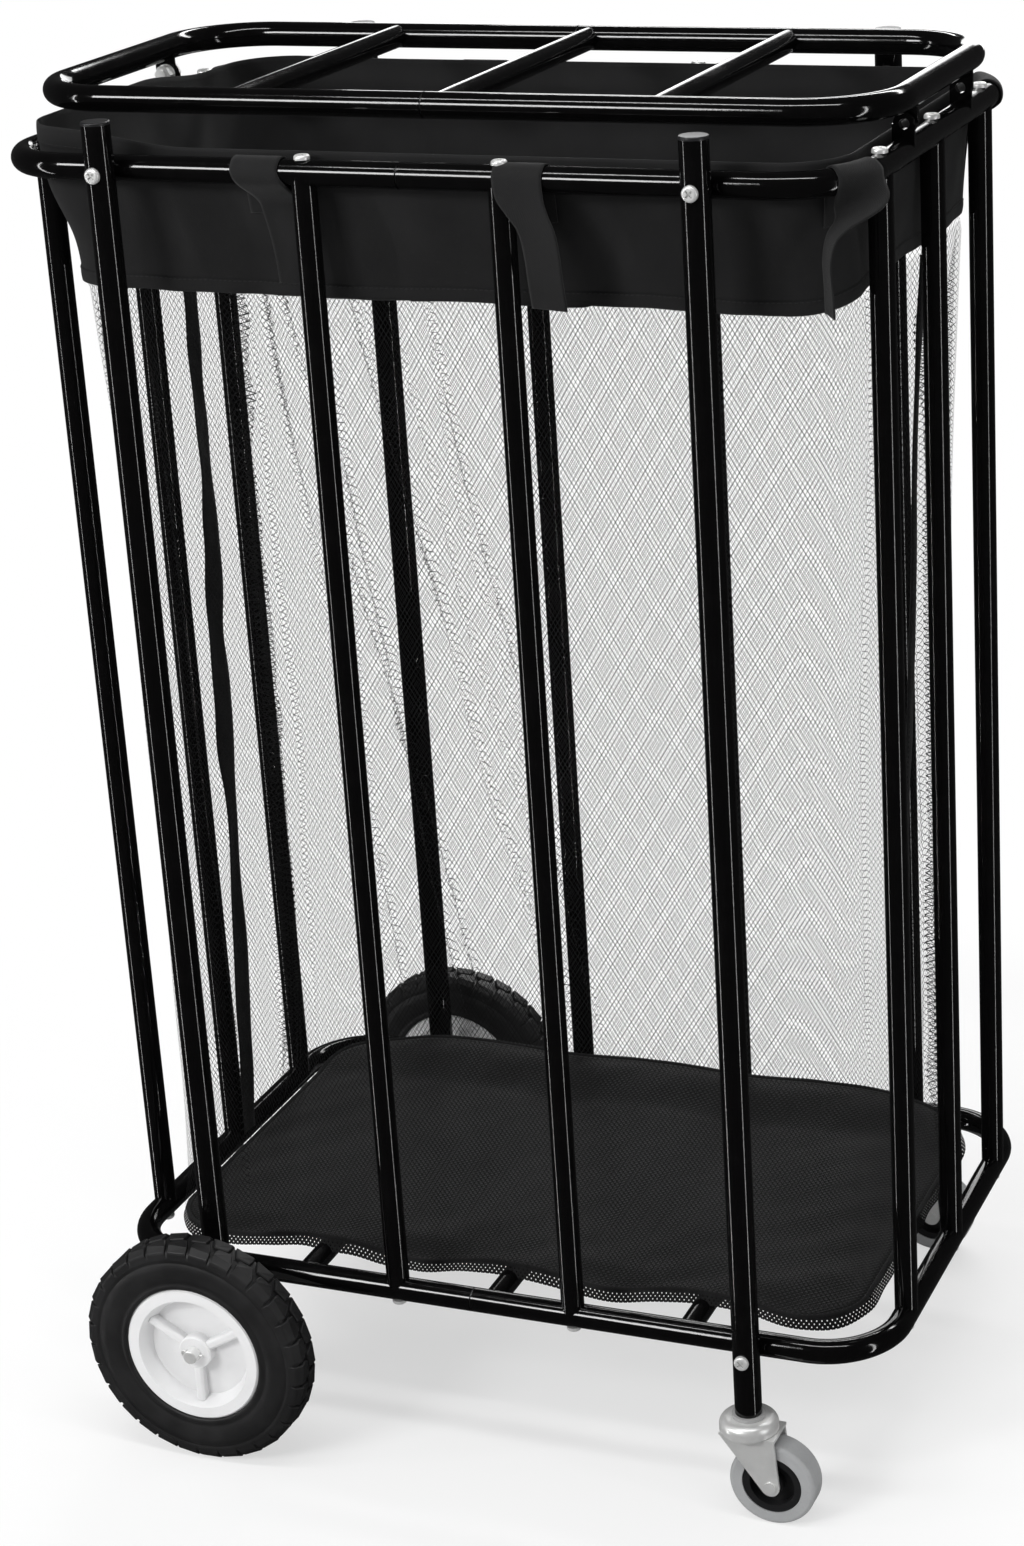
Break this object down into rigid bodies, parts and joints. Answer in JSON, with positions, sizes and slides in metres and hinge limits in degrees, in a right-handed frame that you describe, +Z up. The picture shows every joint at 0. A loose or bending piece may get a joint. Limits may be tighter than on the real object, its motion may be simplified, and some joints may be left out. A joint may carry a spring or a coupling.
{
  "type": "rolling lidded mesh hamper",
  "caption": "Tall round-tube cage on two large wheels and two swivel casters, with a net bag strapped inside it and a hinged open tube lid.",
  "frame": {"origin": "on the floor, under the middle of the cage", "axes": "+Z up, +X along the cage towards the casters, +Y to the rear long side"},
  "size_m": [0.702, 0.582, 1.122],
  "materials": {
    "black_powder": "gloss",
    "inner_steel": "plain",
    "black_plastic": "satin",
    "zinc": "zinc plated",
    "grey_plastic": "matte",
    "white_plastic": "satin",
    "black_tyre": "matte",
    "grey_rubber": "satin",
    "black_net": "open net",
    "black_cloth": "woven"
  },
  "bodies": {
    "cage": {"top_rim_left": "black_powder", "top_rim_right": "black_powder", "bottom_rim_left": "black_powder", "bottom_rim_right": "black_powder", "rim_plugs": "inner_steel", "bottom_cross_bars": "black_powder", "leg_front_left": "black_powder", "leg_front_right": "black_powder", "leg_rear_left": "black_powder", "leg_rear_right": "black_powder", "leg_caps": "black_plastic", "front_bars": "black_powder", "rear_bars": "black_powder", "left_bars": "black_powder", "right_bars": "black_powder", "bar_inserts": "inner_steel", "bar_screws": "zinc", "leg_inserts": "inner_steel", "leg_screws": "zinc", "wheel_axles": "zinc", "axle_spacers": "grey_plastic", "axle_pins": "zinc", "rim_hinge_tabs": "black_powder", "rim_lock_tabs": "black_powder", "hinge_bolts": "zinc", "hinge_washers": "zinc", "hinge_nuts": "zinc", "caster_socket_front": "grey_plastic", "caster_socket_rear": "grey_plastic", "caster_stem_front": "zinc", "caster_stem_rear": "zinc", "caster_balls_front": "zinc", "caster_balls_rear": "zinc", "bag_band": "black_cloth", "bag_net": "black_net", "bag_bottom": "black_cloth", "straps": "black_cloth"},
    "lid": {"lid_rail_left": "black_powder", "lid_rail_right": "black_powder", "lid_plugs": "inner_steel", "lid_cross_bars": "black_powder", "lid_hinge_tabs": "black_powder", "lid_lock_tabs": "black_powder"},
    "big_wheel_front": {"wheel_hub_front": "white_plastic", "wheel_tyre_front": "black_tyre"},
    "caster_swivel_front": {"caster_fork_front": "zinc", "caster_axle_front": "zinc"},
    "caster_wheel_front": {"caster_hub_front": "black_plastic", "caster_tyre_front": "grey_rubber"},
    "big_wheel_rear": {"wheel_hub_rear": "white_plastic", "wheel_tyre_rear": "black_tyre"},
    "caster_swivel_rear": {"caster_fork_rear": "zinc", "caster_axle_rear": "zinc"},
    "caster_wheel_rear": {"caster_hub_rear": "black_plastic", "caster_tyre_rear": "grey_rubber"}
  },
  "joints": [
    {"name": "lid_hinge", "type": "hinge", "parent": "cage", "child": "lid", "pos_m": [-0.339, 0, 1.092], "axis": [0, -1, 0], "range_deg": [0, 104]},
    {"name": "big_wheel_spin_front", "type": "hinge", "parent": "cage", "child": "big_wheel_front", "pos_m": [-0.234, -0.27, 0.1], "axis": [0, 1, 0], "continuous": true},
    {"name": "caster_swivel_turn_front", "type": "hinge", "parent": "cage", "child": "caster_swivel_front", "pos_m": [0.234, -0.22855, 0.077], "axis": [0, 0, 1], "continuous": true},
    {"name": "caster_wheel_spin_front", "type": "hinge", "parent": "caster_swivel_front", "child": "caster_wheel_front", "pos_m": [0.255, -0.22855, 0.036], "axis": [0, 1, 0], "continuous": true},
    {"name": "big_wheel_spin_rear", "type": "hinge", "parent": "cage", "child": "big_wheel_rear", "pos_m": [-0.234, 0.27, 0.1], "axis": [0, 1, 0], "continuous": true},
    {"name": "caster_swivel_turn_rear", "type": "hinge", "parent": "cage", "child": "caster_swivel_rear", "pos_m": [0.234, 0.22855, 0.077], "axis": [0, 0, 1], "continuous": true},
    {"name": "caster_wheel_spin_rear", "type": "hinge", "parent": "caster_swivel_rear", "child": "caster_wheel_rear", "pos_m": [0.255, 0.22855, 0.036], "axis": [0, 1, 0], "continuous": true}
  ]
}
